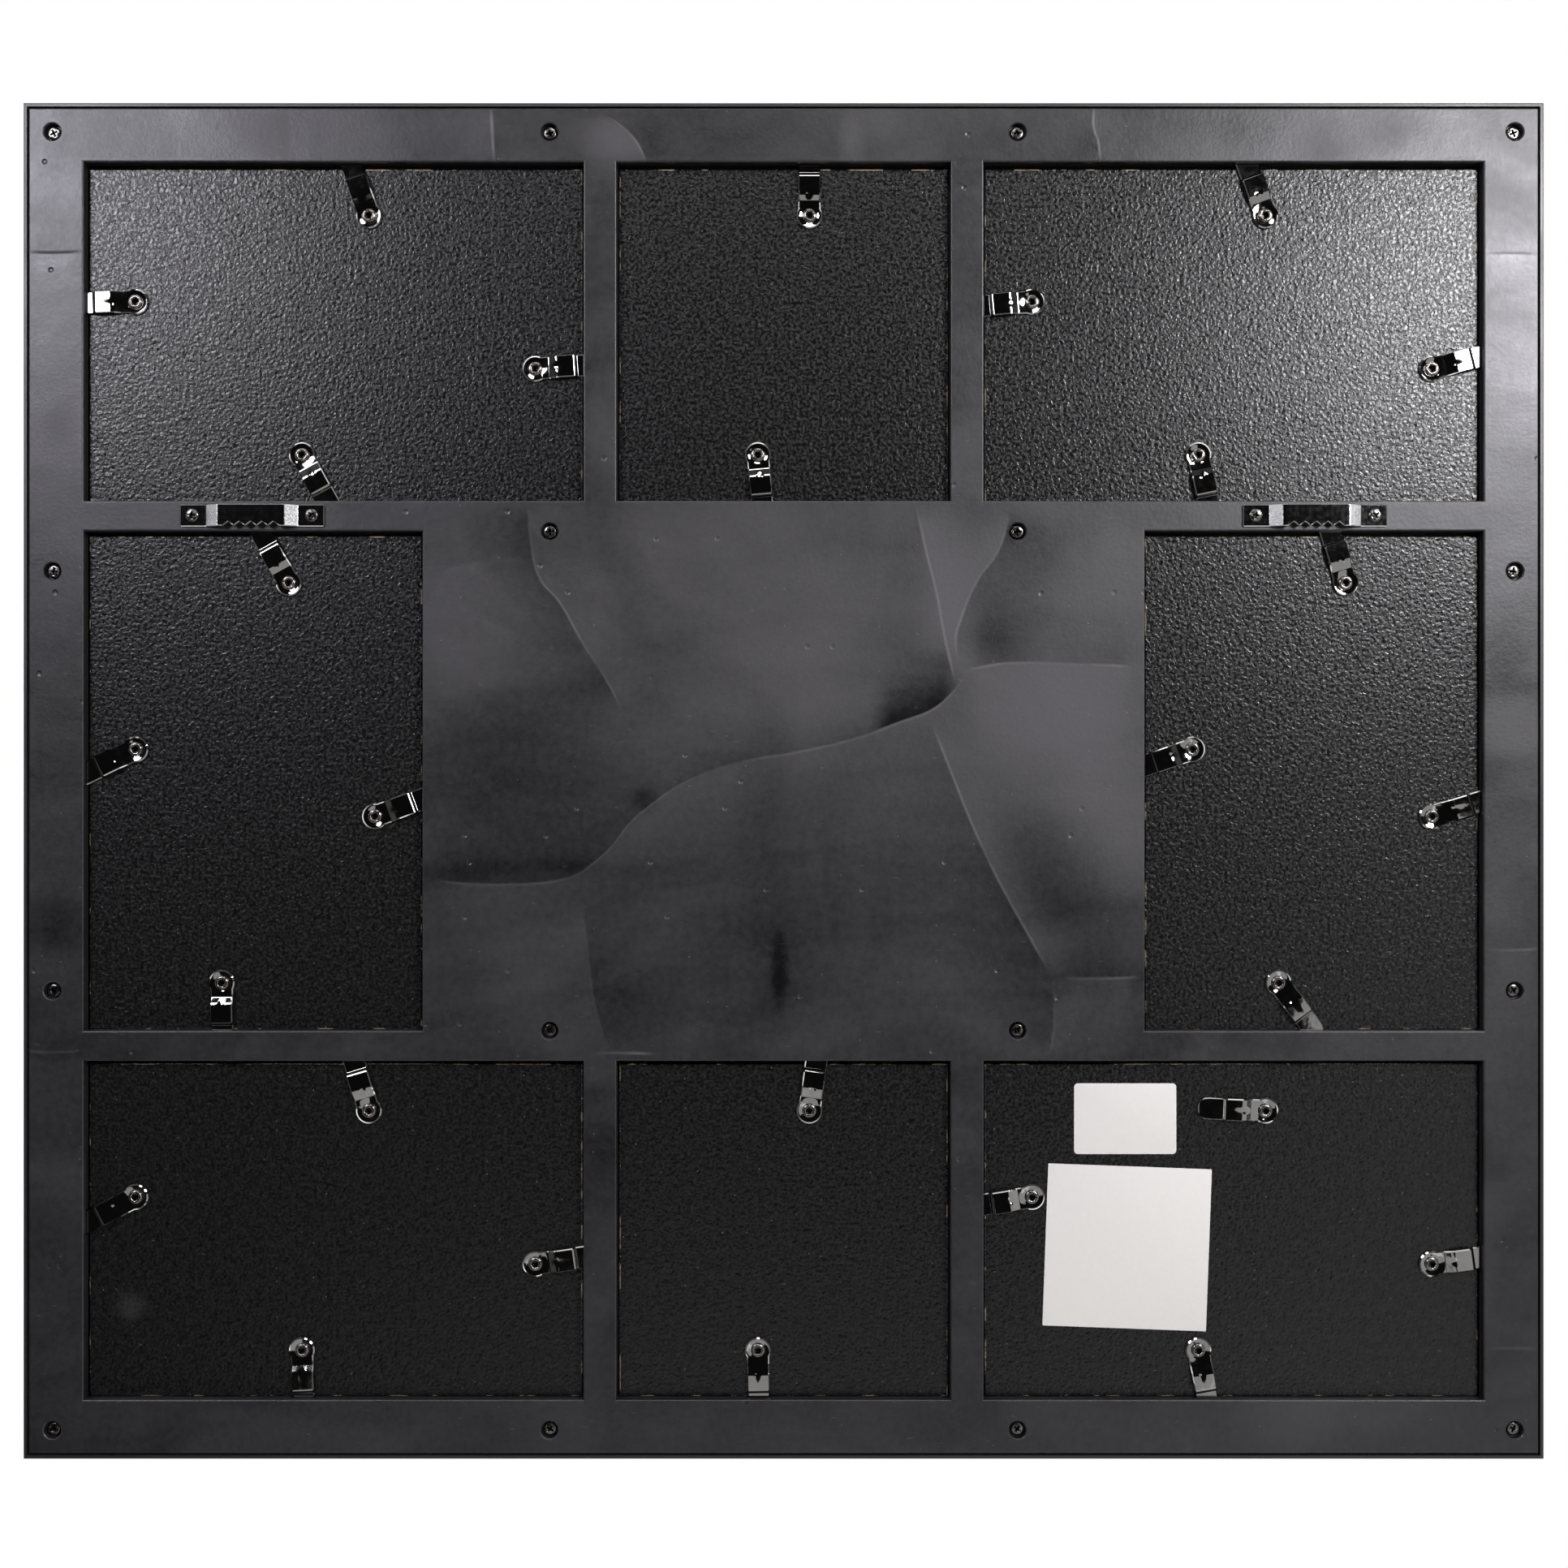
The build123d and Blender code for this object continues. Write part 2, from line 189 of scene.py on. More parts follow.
for name, spec in lamps.items():
    spot = Vector(spec["place"])
    aim = (Vector(spec.get("aim", (0, 0, 0))) - spot).to_track_quat("-Z", "Y")
    bpy.ops.object.light_add(type="AREA", location=spot, rotation=aim.to_euler())
    lamp = bpy.context.object
    lamp.name = name
    lamp.visible_camera = False
    lamp.data.shape = "SQUARE"
    lamp.data.size = spec["size"]
    lamp.data.energy = spec["power"]
    lamp.data.color = spec.get("tint", plainTint)

bpy.ops.mesh.primitive_circle_add(
    vertices=studio["floorFacets"], radius=studio["floorReach"], fill_type="NGON",
    location=(0, 0, studio["floorHeight"]),
)
floor = bpy.context.object
floor.name = "floor"
floor.visible_glossy = False  # the plated steel mirrors the dark room below
floorPaint, tree, shader, place = startMaterial("floorPaint")
floorShade = blendColour(tree, noise(tree, place, 3.0, 3.0), (0.86, 0.86, 0.85, 1), (0.9, 0.9, 0.89, 1))
join(tree, floorShade, shader.inputs["Base Color"])
shader.inputs["Roughness"].default_value = studio["floorRoughness"]
reach = wire(tree, "VectorMath", {0: place}, operation="LENGTH").outputs["Value"]
rimFade = fade(tree, reach, studio["floorFade"] * studio["floorReach"], studio["floorReach"], 1.0, 0.0)
join(tree, rimFade, shader.inputs["Alpha"])
floor.data.materials.append(floorPaint)
print("studio ready")

# back panel: weld lines where the melt met, as (x, z) in millimetres, run along x or z;
# "up" and "down" are painted sheen where positive and painted shade where negative, on the higher and lower
# side of the line, and how far it reaches
weldLines = [
    {"run": "z", "core": 0.26, "up": (-0.22, 17), "down": (0.12, 12),
     "path": [(78.9, 86.4), (78.2, 74.6), (75.9, 63.8), (69.1, 55.0), (61.6, 41.7), (53.8, 29.4),
              (50.3, 22.1)]},
    {"run": "z", "core": 0.26, "up": (-0.18, 20), "down": (0.40, 8),
     "path": [(-40.8, 85.6), (-43.8, 71.8), (-47.3, 57.7), (-49.8, 44.0), (-53.1, 30.2)]},
    {"run": "z", "core": 0.26, "up": (0.34, 8), "down": (-0.36, 20),
     "path": [(-69.9, 84.1), (-66.9, 72.6), (-59.3, 61.0), (-54.8, 50.2), (-53.1, 42.9), (-54.6, 36.9)]},
    {"run": "x", "core": 0.28, "up": (-0.34, 11), "down": (0.40, 26),
     "path": [(-109.0, 35.2), (-88.8, 36.1), (-72.6, 36.4), (-62.6, 35.4), (-55.6, 33.2)]},
    {"run": "x", "core": 0.34, "up": (-0.85, 13), "down": (0.06, 12),
     "path": [(-55.8, 32.2), (-50.3, 25.4), (-45.3, 21.6), (-36.8, 18.4), (-26.5, 14.6)]},
    {"run": "x", "core": 0.16, "up": (-0.18, 8), "down": (0.08, 10),
     "path": [(-34.8, 17.6), (-21.5, 12.8), (-3.1, 8.6), (4.0, 7.2)]},
    {"run": "x", "core": 0.14, "up": (-0.18, 12), "down": (0.10, 10),
     "path": [(-3.1, 8.6), (21.5, 3.3), (43.0, -9.0), (58.3, -25.0), (67.6, -30.3), (86.2, -32.1),
              (109.0, -30.8)]},
    {"run": "z", "core": 0.24, "up": (-0.06, 12), "down": (0.34, 9),
     "path": [(-45.8, 17.9), (-51.8, 2.5), (-58.8, -14.8), (-65.3, -28.6), (-75.1, -46.6), (-82.9, -60.4)]},
    {"run": "x", "core": 0.34, "up": (-0.12, 8), "down": (0.16, 12),
     "path": [(-110.5, -60.6), (-96.0, -61.1), (-84.2, -60.9)]},
    {"run": "z", "core": 0.18, "up": (-0.10, 9), "down": (0.14, 12),
     "path": [(-82.9, -61.9), (-83.7, -69.7), (-81.9, -84.5)]},
    {"run": "z", "core": 0.12, "up": (0.08, 8), "down": (-0.16, 13),
     "path": [(62.4, -37.3), (60.8, -51.1), (58.8, -66.9), (53.8, -83.5)]},
    {"run": "z", "core": 0.60, "up": (0.16, 10), "down": (-0.10, 7),
     "path": [(90.4, 209.0), (89.9, 200.0), (89.4, 191.0)]},
    {"run": "z", "core": 0.80, "up": (-0.06, 6), "down": (0.18, 11),
     "path": [(-96.0, 209.0), (-95.6, 203.0), (-97.0, 198.0), (-97.8, 191.0)]},
    {"run": "z", "core": 0.30, "up": (0.36, 14), "down": (-0.25, 9),
     "path": [(55.5, 206.0), (48.5, 201.0), (44.6, 196.0), (42.6, 191.0)]},
    {"run": "z", "core": 0.04, "up": (0.62, 10), "down": (-0.16, 7),
     "path": [(151.6, 209.0), (152.6, 203.0), (152.4, 197.0), (153.6, 191.0)]},
    {"run": "x", "core": -0.70, "up": (0.05, 8), "down": (-0.12, 8),
     "path": [(-234.0, 162.4), (-226.0, 163.2), (-216.5, 162.9)]},
    {"run": "x", "core": -0.70, "up": (0.06, 8), "down": (-0.16, 12),
     "path": [(216.4, 164.4), (224.0, 163.4), (234.0, 163.6)]},
    {"run": "x", "core": 0.36, "up": (-0.05, 6), "down": (0.08, 10),
     "path": [(-234.0, -51.6), (-226.0, -52.4), (-216.5, -52.1)]},
    {"run": "x", "core": 0.26, "up": (0.05, 6), "down": (-0.05, 6),
     "path": [(-234.0, -175.9), (-226.0, -175.4), (-216.5, -175.8)]},
    {"run": "x", "core": 0.22, "up": (0.05, 6), "down": (-0.05, 6),
     "path": [(216.4, -83.2), (224.0, -83.9), (234.0, -83.6)]},
    {"run": "x", "core": 0.34, "up": (0.0, 4), "down": (0.0, 4),
     "path": [(39.3, -84.5), (50.0, -84.1), (59.8, -84.2)]},
    {"run": "x", "core": -0.3, "up": (-0.10, 3), "down": (0.12, 4),
     "path": [(91.4, 68.3), (99.0, 66.9), (107.5, 64.8)]},
    {"run": "x", "core": -0.3, "up": (-0.10, 3), "down": (0.12, 4),
     "path": [(81.4, 45.7), (88.0, 48.4), (94.5, 51.7)]},
]

# soft patches of painted sheen and painted shade on the panel: middle, half width, half height and strength
sheenAndShadePatches = [
    {"at": (97.0, 50.0), "reach": (26, 26), "glow": 0.32},
    {"at": (86.0, 8.0), "reach": (34, 26), "glow": -0.16},
    {"at": (14.0, 72.0), "reach": (40, 20), "glow": 0.10},
    {"at": (4.0, 30.0), "reach": (26, 18), "glow": 0.20},
    {"at": (-50.0, 58.0), "reach": (9, 24), "glow": 0.30},
    {"at": (1.4, -59.0), "reach": (3, 12), "glow": -0.34},
    {"at": (43.0, -6.0), "reach": (4, 4), "glow": -0.26},
    {"at": (-100.0, 66.0), "reach": (16, 22), "glow": 0.26},
    {"at": (-90.0, 16.0), "reach": (30, 24), "glow": 0.55},
    {"at": (-104.0, -14.0), "reach": (22, 24), "glow": 0.50},
    {"at": (-86.0, -36.0), "reach": (24, 24), "glow": -0.20},
    {"at": (-12.0, -78.0), "reach": (20, 12), "glow": 0.10},
    {"at": (82.0, -50.0), "reach": (26, 26), "glow": 0.20},
    {"at": (52.0, 196.0), "reach": (9, 10), "glow": 0.36},
    {"at": (-21.2, 199.0), "reach": (4, 9), "glow": 0.42},
    {"at": (-30.0, 203.0), "reach": (6, 8), "glow": 0.20},
    {"at": (-166.0, 197.0), "reach": (10, 10), "glow": 0.50},
    {"at": (-187.0, 202.0), "reach": (11, 8), "glow": 0.30},
    {"at": (-140.0, 202.0), "reach": (14, 8), "glow": -0.14},
    {"at": (224.0, 109.0), "reach": (6, 9), "glow": 0.34},
    {"at": (225.0, -44.0), "reach": (9, 11), "glow": -0.22},
    {"at": (-226.0, 17.0), "reach": (14, 9), "glow": 0.55},
    {"at": (-224.0, 40.0), "reach": (9, 12), "glow": -0.16},
    {"at": (-172.0, -196.0), "reach": (34, 10), "glow": 0.34},
    {"at": (-16.0, 44.0), "reach": (120, 62), "glow": 0.36},
]

# how a weld line looks, in millimetres: its core, the step between its sides and its fading ends
weldShape = {
    "core": 0.75, "step": 0.7, "near": -0.6, "far": 2.0, "taper": 8.0, "taperShare": 0.3, "overrun": 1.0,
}


def weldLine(tree, across, along, line):
    # a curve node holds the line, the rest measures how far the surface point lies off it
    level = line["run"] == "x"
    path = sorted((p if level else (p[1], p[0])) for p in line["path"])
    first, last = path[0][0], path[-1][0]
    low = min(p[1] for p in path)
    span = max(max(p[1] for p in path) - low, 1.0)
    run, offset = (across, along) if level else (along, across)
    share = wire(tree, "MapRange", {0: run, 1: first, 2: last, 3: 0.0, 4: 1.0}).outputs[0]
    bend = wire(tree, "FloatCurve", {"Value": share})
    curve = bend.mapping.curves[0]
    for a, b in path[1:-1]:
        curve.points.new((a - first) / (last - first), (b - low) / span)
    curve.points[0].location = (0.0, (path[0][1] - low) / span)
    curve.points[-1].location = (1.0, (path[-1][1] - low) / span)
    bend.mapping.update()
    middle = wire(tree, "Math", {0: bend.outputs[0], 1: span, 2: low}, operation="MULTIPLY_ADD").outputs[0]
    gap = calc(tree, "SUBTRACT", offset, middle)
    far = calc(tree, "ABSOLUTE", gap)
    sides = []
    for strength, reach in (line["down"], line["up"]):
        sides.append(fade(tree, far, weldShape["near"] * reach, weldShape["far"] * reach, strength, 0.0))
    # glow beside the line: painted sheen on one side and painted shade on the other
    glow = mixValue(tree, fade(tree, gap, -weldShape["step"], weldShape["step"]), *sides)
    # core: the line itself, partly a real weld mark and partly a painted highlight
    core = fade(tree, far, 0.0, weldShape["core"], line["core"], 0.0)
    taper = min(weldShape["taper"], weldShape["taperShare"] * (last - first))
    begun = fade(tree, run, first - weldShape["overrun"], first + taper)
    ended = fade(tree, run, last - taper, last + weldShape["overrun"], 1.0, 0.0)
    inside = times(tree, begun, ended)
    return times(tree, glow, inside), times(tree, core, inside)


panelFinish = {
    "dark": 0.012, "pale": 0.16, "roughness": 0.37, "sheen": 0.30, "scoreDull": 0.45, "mottleDull": 0.10,
    "cloud": 0.6, "streak": 0.6, "dust": 0.4, "scuff": 0.5, "mottle": 1.1, "contrast": 2.6, "least": 0.2,
}
panelGrain = {  # scale of each pattern
    "vivid": 28.0, "cloud": 13.0, "streak": 2.0, "speck": 170.0, "scuff": 160.0, "mottle": 420.0,
    "peel": 760.0, "sink": 45.0, "dent": 120.0,
}
panelRelief = {  # strength and depth of each form in the moulded skin
    "peel": (0.12, 0.0003), "weld": (0.5, 0.0002), "sink": (0.08, 0.002), "dent": (0.5, 0.0003),
}
panelPlastic, tree, shader, place = startMaterial("panelPlastic")
millimetres = wire(tree, "VectorMath", {0: place, 3: 1000.0}, operation="SCALE").outputs[0]
split = wire(tree, "SeparateXYZ", {0: millimetres})
across, along = split.outputs[0], split.outputs[2]
glow, core = 0.0, 0.0
for line in weldLines:
    lineGlow, lineCore = weldLine(tree, across, along, line)
    glow = plus(tree, glow, lineGlow)
    core = plus(tree, core, lineCore)
# each patch paints sheen into the colour where its glow is positive and shade where it is negative
for spot in sheenAndShadePatches:
    (x, z), (wide, high) = spot["at"], spot["reach"]
    shift = {"Vector": millimetres, "Location": (-x / wide, 0, -z / high), "Scale": (1 / wide, 0, 1 / high)}
    shifted = wire(tree, "Mapping", shift).outputs[0]
    off = wire(tree, "VectorMath", {0: shifted}, operation="LENGTH").outputs["Value"]
    glow = plus(tree, glow, fade(tree, off, 0.0, 1.5, spot["glow"], 0.0))
face = faceOn(tree, place)
vivid = fade(tree, flatNoise(tree, face, panelGrain["vivid"]), 0.36, 0.62, 0.3, 1.0)
core = times(tree, core, vivid)  # a weld line comes and goes
cloud = calc(tree, "SUBTRACT", flatNoise(tree, face, panelGrain["cloud"], 3.0, 0.5, 1.2), 0.5)
streak = flatNoise(tree, stretched(tree, face, (9, 26, 1)), panelGrain["streak"], 2.0, 0.5, 0.6)
streak = calc(tree, "SUBTRACT", streak, 0.5)
cloud = plus(tree, cloud, times(tree, streak, panelFinish["streak"]))
tone = plus(tree, glow, times(tree, cloud, panelFinish["cloud"]))
# dust, and small pale scuffs
speck = specks(tree, face, panelGrain["speck"], 0, (0.015, 0.05), 1.0, 0.95)
scuff = flatNoise(tree, stretched(tree, face, (1, 5, 1), (0, 0, 0.5)), panelGrain["scuff"], 4.0, 0.7)
scuff = times(tree, fade(tree, scuff, 0.69, 0.78), panelFinish["scuff"])
marks = times(tree, calc(tree, "MAXIMUM", speck, scuff), panelFinish["dust"])
# the pale colour takes the dust, the scuffs and the weld cores; the cores' brightness is partly a painted
# highlight
pale = wire(tree, "Math", {0: marks, 1: core}, operation="ADD", use_clamp=True).outputs[0]
# a negative core paints a dark line into the colour, painted shade where the line dims the reflection; it
# also raises the roughness below
paintedLineShade = plus(tree, calc(tree, "MINIMUM", core, 0.0), 1.0)
mottle = calc(tree, "SUBTRACT", flatNoise(tree, face, panelGrain["mottle"], 4.0, 0.75), 0.5)
mottle = times(tree, mottle, panelFinish["mottle"])
# the colour follows the tone: painted sheen and shade from the weld lines and patches, with random cloud and
# mottle
shade = plus(tree, plus(tree, times(tree, tone, panelFinish["contrast"]), mottle), 1.0)
shade = calc(tree, "MAXIMUM", shade, panelFinish["least"])
shade = times(tree, times(tree, shade, paintedLineShade), panelFinish["dark"])
tint = {0: shade, 1: times(tree, shade, 0.97), 2: times(tree, shade, 1.04)}
plain = wire(tree, "CombineColor", tint).outputs[0]
paleColour = (panelFinish["pale"], 0.97 * panelFinish["pale"], panelFinish["pale"], 1)
join(tree, blendColour(tree, pale, plain, paleColour), shader.inputs["Base Color"])
dull = times(tree, tone, panelFinish["sheen"])
dull = plus(tree, dull, times(tree, mottle, panelFinish["mottleDull"]))
dull = plus(tree, dull, times(tree, calc(tree, "SUBTRACT", 1.0, paintedLineShade), panelFinish["scoreDull"]))
join(tree, plus(tree, dull, panelFinish["roughness"]), shader.inputs["Roughness"])
# moulded skin: orange peel, raised weld lines, shallow sinks and a few pricked dents
skin = relief(tree, flatNoise(tree, face, panelGrain["peel"], 3.0, 0.6), *panelRelief["peel"])
skin = relief(tree, calc(tree, "MAXIMUM", core, 0.0), *panelRelief["weld"], skin)
skin = relief(tree, flatNoise(tree, face, panelGrain["sink"]), *panelRelief["sink"], skin)
dent = specks(tree, face, panelGrain["dent"], 1, (0.03, 0.12), -1.0, 0.95)
skin = relief(tree, dent, *panelRelief["dent"], skin)
join(tree, skin, shader.inputs["Normal"])
shader.inputs["Specular Tint"].default_value = (0.97, 0.965, 1.0, 1)
print("panel plastic with", len(weldLines), "weld lines")

# front frame plastic: the same moulding, smoother
framePlastic, tree, shader, place = startMaterial("framePlastic")
frameTone = fade(tree, noise(tree, place, 18.0, 3.0, 0.5, 0.8), 0.3, 0.7)
frameShade = blendColour(tree, frameTone, (0.0095, 0.0095, 0.010, 1), (0.012, 0.0118, 0.0124, 1))
join(tree, frameShade, shader.inputs["Base Color"])
join(tree, fade(tree, noise(tree, place, 30.0, 4.0), 0.25, 0.75, 0.34, 0.44), shader.inputs["Roughness"])
join(tree, relief(tree, noise(tree, place, 700.0, 2.0), 0.08, 0.0003), shader.inputs["Normal"])

# boards: black embossed paper on tan hardboard, rubbed through in places along the edges
boardFinish = {
    "emboss": 0.000155, "rub": 0.00045, "specular": 0.36, "gloss": (0.36, 0.64, 0.13, 0.42),
    "ink": ((0.003, 0.003, 0.0031, 1), (0.006, 0.0059, 0.0061, 1)),
    "tan": ((0.26, 0.18, 0.11, 1), (0.46, 0.37, 0.27, 1)),
    "dust": (0.24, 0.23, 0.22, 1),
    "smudge": (0.203, -0.1635), "smudgeReach": 0.007, "smudgeLevel": 0.05,
}
boardGrain = {"rub": 130.0, "ink": 420.0, "dust": 260.0, "fibre": 900.0, "gloss": 1000.0, "lumps": 880.0}


def boardMaterial(name):
    made, tree, shader, place = startMaterial(name + "_face")
    face = faceOn(tree, place)
    low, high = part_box(name)
    middle = ((low.x + high.x) / 2, (low.z + high.z) / 2, 0)
    off = wire(tree, "VectorMath", {0: face, 1: middle}, operation="SUBTRACT").outputs[0]
    off = wire(tree, "SeparateXYZ", {0: wire(tree, "VectorMath", {0: off}, operation="ABSOLUTE").outputs[0]})
    inside = calc(tree, "SUBTRACT", (high.x - low.x) / 2, off.outputs[0])
    inside = calc(tree, "MINIMUM", inside, calc(tree, "SUBTRACT", (high.z - low.z) / 2, off.outputs[1]))
    rubbed = fade(tree, flatNoise(tree, face, boardGrain["rub"], 4.0, 0.65), 0.54, 0.64)
    rawEdge = times(tree, fade(tree, inside, 0.6 * boardFinish["rub"], boardFinish["rub"], 1.0, 0.0), rubbed)
    inkTone = fade(tree, flatNoise(tree, face, boardGrain["ink"], 3.0), 0.3, 0.7)
    ink = blendColour(tree, inkTone, *boardFinish["ink"])
    spot = (*boardFinish["smudge"], 0)
    smudge = wire(tree, "VectorMath", {0: face, 1: spot}, operation="DISTANCE").outputs["Value"]
    smudge = fade(tree, smudge, 0.0, boardFinish["smudgeReach"], boardFinish["smudgeLevel"], 0.0)
    dust = plus(tree, specks(tree, face, boardGrain["dust"], 0, (0.02, 0.07), 0.35, 0.93), smudge)
    ink = blendColour(tree, dust, ink, boardFinish["dust"])
    fibre = blendColour(tree, flatNoise(tree, face, boardGrain["fibre"], 4.0), *boardFinish["tan"])
    join(tree, blendColour(tree, rawEdge, ink, fibre), shader.inputs["Base Color"])
    gloss = dict(enumerate([flatNoise(tree, face, boardGrain["gloss"], 3.0, 0.6), *boardFinish["gloss"]]))
    join(tree, wire(tree, "MapRange", gloss).outputs[0], shader.inputs["Roughness"])
    lumps = flatNoise(tree, face, boardGrain["lumps"], 2.2, 0.5, 0.3)
    join(tree, relief(tree, lumps, 1.0, boardFinish["emboss"]), shader.inputs["Normal"])
    shader.inputs["Specular IOR Level"].default_value = boardFinish["specular"]
    return made


# plated steel: plating and dents start with the scale of their noise, polish with scale and upper step;
# an optional entry darkens the colour between two depths in bores, crosses and pits: painted shade in these
# recesses
def platedSteel(name, look):
    made, tree, shader, place = startMaterial(name)
    scale, dark, light = look["plating"]
    plating = blendColour(tree, noise(tree, place, scale, 3.0), dark, light)
    if "recessShade" in look:
        deep, shallow, recessShadeColour = look["recessShade"]
        depth = wire(tree, "SeparateXYZ", {0: place}).outputs[1]
        # painted shade: darker deeper in the recess
        plating = blendColour(tree, fade(tree, depth, deep, shallow, 1.0, 0.0), plating, recessShadeColour)
    join(tree, plating, shader.inputs["Base Color"])
    shader.inputs["Metallic"].default_value = 1.0
    scale, upper, smooth, dull = look["polish"]
    polish = fade(tree, noise(tree, place, scale, 3.0), 0.3, upper, smooth, dull)
    join(tree, polish, shader.inputs["Roughness"])
    if "dents" in look:
        scale, strength, distance = look["dents"]
        join(tree, relief(tree, noise(tree, place, scale, 2.0), strength, distance), shader.inputs["Normal"])
    return made


clipSteel = platedSteel("clipSteel", {
    "plating": (220.0, (0.27, 0.265, 0.26, 1), (0.36, 0.353, 0.346, 1)),
    "polish": (500.0, 0.8, 0.035, 0.085), "dents": (260.0, 0.03, 0.0006),
})
rivetSteel = platedSteel("rivetSteel", {
    "plating": (600.0, (0.13, 0.12, 0.112, 1), (0.24, 0.222, 0.21, 1)),
    "recessShade": (-0.0058, -0.0050, (0.035, 0.032, 0.03, 1)),
    "polish": (900.0, 0.7, 0.14, 0.30), "dents": (1100.0, 0.25, 0.0002),
})
screwSteel = platedSteel("screwSteel", {
    "plating": (900.0, (0.08, 0.076, 0.072, 1), (0.22, 0.21, 0.20, 1)),
    "recessShade": (-0.0046, -0.0042, (0.012, 0.011, 0.010, 1)),
    "polish": (1200.0, 0.7, 0.16, 0.30), "dents": (1500.0, 0.2, 0.0002),
})
blackScrew = platedSteel("blackScrew", {
    "plating": (900.0, (0.06, 0.058, 0.055, 1), (0.20, 0.19, 0.18, 1)),
    "recessShade": (-0.00140, -0.00105, (0.006, 0.006, 0.006, 1)),
    "polish": (1200.0, 0.7, 0.16, 0.30),
})

# the hangers' steel is bright on the flats and frosted by the press on the bends
hangerFinish = {
    "plating": ((0.30, 0.30, 0.305, 1), (0.46, 0.46, 0.465, 1)),
    "polish": (0.04, 0.08), "frost": (0.46, 0.72), "bendFrom": (0.00085, 0.0010), "bendTo": (0.0023, 0.0025),
}
hangerSteel, tree, shader, place = startMaterial("hangerSteel")
plating = blendColour(tree, noise(tree, place, 300.0, 3.0), *hangerFinish["plating"])
join(tree, plating, shader.inputs["Base Color"])
shader.inputs["Metallic"].default_value = 1.0
rise = calc(tree, "SUBTRACT", wire(tree, "SeparateXYZ", {0: place}).outputs[1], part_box("hanger_left")[0].y)
frosted = fade(tree, rise, *hangerFinish["bendFrom"])
frosted = times(tree, frosted, fade(tree, rise, *hangerFinish["bendTo"], 1.0, 0.0))
polish = fade(tree, noise(tree, place, 700.0, 3.0), 0.3, 0.7, *hangerFinish["polish"])
grit = noise(tree, place, 1700.0, 2.0)
frost = fade(tree, grit, 0.35, 0.65, *hangerFinish["frost"])
join(tree, mixValue(tree, frosted, polish, frost), shader.inputs["Roughness"])
press = relief(tree, noise(tree, place, 1100.0, 2.0), 0.02, 0.0004)
join(tree, relief(tree, times(tree, grit, frosted), 0.6, 0.0003, press), shader.inputs["Normal"])

# a pane mirrors as much as glass does and lets the rest of the light straight through
glassFinish = {"tint": (0.95, 0.97, 0.96, 1), "squareOn": 0.04, "grazing": 0.7, "sharpness": 4.0}
paneGlass, tree, shader, place = startMaterial("paneGlass")
shader.inputs["Metallic"].default_value = 1.0
shader.inputs["Base Color"].default_value = glassFinish["tint"]
slant = wire(tree, "LayerWeight", {"Blend": 0.5}).outputs["Facing"]
mirrored = times(tree, calc(tree, "POWER", slant, glassFinish["sharpness"]), glassFinish["grazing"])
join(tree, plus(tree, mirrored, glassFinish["squareOn"]), shader.inputs["Alpha"])
join(tree, fade(tree, noise(tree, place, 40.0, 3.0), 0.4, 0.8, 0.01, 0.04), shader.inputs["Roughness"])


def paperMaterial(name, look):
    made, tree, shader, place = startMaterial(name)
    sheet = blendColour(tree, noise(tree, place, look["mottle"], 4.0, 0.7), *look["tones"])
    join(tree, sheet, shader.inputs["Base Color"])
    shader.inputs["Roughness"].default_value = look["roughness"]
    fibres = noise(tree, place, look["fibre"], 3.0)
    join(tree, relief(tree, fibres, look["relief"], 0.0002), shader.inputs["Normal"])
    return made


insertPaper = paperMaterial("insertPaper", {
    "mottle": 700.0, "tones": ((0.70, 0.69, 0.66, 1), (0.78, 0.77, 0.74, 1)),
    "roughness": 0.75, "fibre": 1400.0, "relief": 0.15,
})

finishOf = {
    "front_frame": framePlastic, "back_panel": panelPlastic, "clip_rivets": rivetSteel,
    "panel_screws": screwSteel, "hanger_screws": blackScrew,
    "hanger": hangerSteel, "clip": clipSteel, "glass": paneGlass, "insert": insertPaper,
}
for name, solid in solids.items():
    if name.startswith("board_"):
        finish = boardMaterial(name)
    else:
        finish = finishOf.get(name) or finishOf[name.split("_")[0]]
    solid.data.materials.clear()
    solid.data.materials.append(finish)
print("finishes on", len(solids), "solids")

# new pieces are drawn in millimetres, x across, y along and z up, then laid on the back of the frame
mm = 0.001
touch = 0.02  # places closer than this are the same place
toBack = Matrix.Rotation(math.pi, 4, "Z") @ Matrix.Rotation(math.pi / 2, 4, "X")
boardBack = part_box("board_top_left")[1].y


def startForm(primitive, **settings):
    # a fresh primitive in edit mode, with all of it selected
    bpy.ops.object.select_all(action="DESELECT")
    primitive(**settings)
    bpy.ops.object.mode_set(mode="EDIT")
    bpy.ops.mesh.select_all(action="SELECT")
    return bpy.context.object


def pick(piece, chosen):
    # selects the vertices for which chosen(x, y, z in millimetres) holds
    bpy.ops.object.mode_set(mode="EDIT")
    bpy.ops.mesh.select_mode(type="VERT")
    bpy.ops.mesh.select_all(action="DESELECT")
    bpy.ops.object.mode_set(mode="OBJECT")
    for v in piece.data.vertices:
        v.select = bool(chosen(*(c / mm for c in v.co)))
    bpy.ops.object.mode_set(mode="EDIT")


def drawOut(step, scale=None, centre=(0, 0, 0)):
    # extrudes what is selected, moves the new edge and scales it about centre
    bpy.ops.mesh.extrude_region_move(TRANSFORM_OT_translate={"value": Vector(step) * mm})
    if scale is not None:
        bpy.ops.transform.resize(value=scale, center_override=Vector(centre) * mm)


def settle(piece, kind, **settings):
    # gives the piece a modifier and applies it
    bpy.ops.object.mode_set(mode="OBJECT")
    made = piece.modifiers.new(kind.lower(), kind)
    for key, value in settings.items():
        setattr(made, key, value)
    bpy.ops.object.modifier_apply(modifier=made.name)


